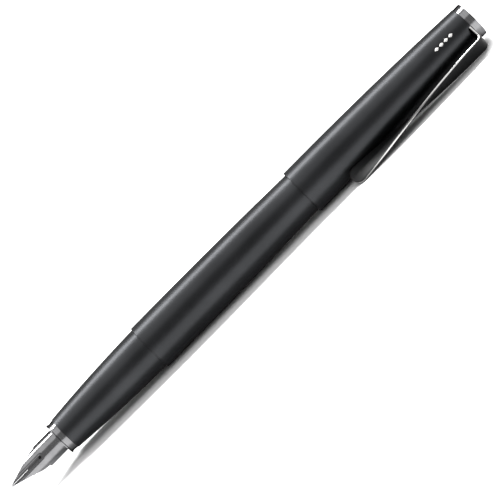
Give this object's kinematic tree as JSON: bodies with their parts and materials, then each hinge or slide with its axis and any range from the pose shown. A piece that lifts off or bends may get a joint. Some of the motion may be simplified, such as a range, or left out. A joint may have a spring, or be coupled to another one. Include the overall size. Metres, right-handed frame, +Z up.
{
  "type": "fountain pen",
  "caption": "Slim black metal fountain pen with a polished nib, screw-on barrel and a push-fit cap posted on its rear, with a twisted sheet clip.",
  "frame": {"origin": "on the surface that the pen lies on, below the middle of its bounding box", "axes": "+X along the pen from the nib's point to the cap's crown, +Z up; the pen lies on its barrel and on the far edge of its clip, which is on the -Y side"},
  "size_m": [0.1541, 0.016, 0.0125],
  "materials": {
    "body_lacquer": "satin black lacquer over metal, fine even surface",
    "clip_coat": "fine matte black coat with bare polished sheet edges",
    "black_polish": "mirror-polished black vapour coat on metal",
    "nib_black": "mirror-polished black vapour coat on sheet steel",
    "nib_point": "bare hard alloy ground smooth",
    "feed_plastic": "moulded black plastic",
    "core_plastic": "moulded black plastic",
    "clear_plastic": "clear moulded plastic, polished",
    "collar_chrome": "polished chrome plate",
    "knob_plastic": "glossy black moulded plastic",
    "white_plastic": "moulded white plastic",
    "seal_rubber": "soft black elastomer",
    "brass": "machined brass",
    "steel": "machined steel",
    "liner_plastic": "moulded dark grey plastic"
  },
  "bodies": {
    "section": {"section_core": "core_plastic", "grip_shell": "body_lacquer", "front_ring": "black_polish"},
    "nib": {"nib": "nib_black", "nib_tipping": "nib_point", "feed": "feed_plastic"},
    "converter": {"converter_tube": "clear_plastic", "converter_collar": "collar_chrome", "converter_guide": "white_plastic"},
    "knob": {"converter_knob": "knob_plastic", "converter_spindle": "steel"},
    "piston": {"piston_plunger": "white_plastic", "piston_seal": "seal_rubber"},
    "barrel_insert": {"barrel_thread_insert": "brass"},
    "barrel": {"barrel_shell": "body_lacquer", "barrel_end_plug": "black_polish"},
    "cap_liner": {"inner_cap": "liner_plastic"},
    "cap": {"cap_shell": "body_lacquer", "cap_crown": "black_polish", "crown_nut": "brass", "crown_washer": "steel", "clip_foot": "black_polish"},
    "clip": {"clip_blade": "clip_coat"}
  },
  "joints": [
    {"name": "nib_pull", "type": "slide", "parent": "section", "child": "nib", "axis": [-1, 0, 0], "range_m": [0, 0.012]},
    {"name": "converter_pull", "type": "slide", "parent": "section", "child": "converter", "axis": [1, 0, 0], "range_m": [0, 0.012]},
    {"name": "knob_turn", "type": "hinge", "parent": "converter", "child": "knob", "pos_m": [0, 0.0018, 0.00623], "axis": [1, 0, 0], "range_deg": [0, 1440]},
    {"name": "piston_slide", "type": "slide", "parent": "converter", "child": "piston", "axis": [1, 0, 0], "range_m": [0, 0.022]},
    {"name": "barrel_pull", "type": "slide", "parent": "section", "child": "barrel_insert", "axis": [1, 0, 0], "range_m": [0, 0.07]},
    {"name": "barrel_turn", "type": "hinge", "parent": "barrel_insert", "child": "barrel", "pos_m": [0, 0.0018, 0.00623], "axis": [1, 0, 0], "range_deg": [0, 1440]},
    {"name": "cap_pull", "type": "slide", "parent": "barrel", "child": "cap_liner", "axis": [1, 0, 0], "range_m": [0, 0.036]},
    {"name": "cap_turn", "type": "hinge", "parent": "cap_liner", "child": "cap", "pos_m": [0, 0.0018, 0.00623], "axis": [1, 0, 0], "continuous": true},
    {"name": "clip_flex", "type": "hinge", "parent": "cap", "child": "clip", "pos_m": [0.07505, -0.00395, 0.00279], "axis": [0, -0.5131, 0.8583], "range_deg": [0, 2.5], "stiffness_Nm_per_rad": 2}
  ],
  "couplings": [
    {"joint": "knob_turn", "follows": "piston_slide", "rad_per_m": 1142.4}
  ]
}
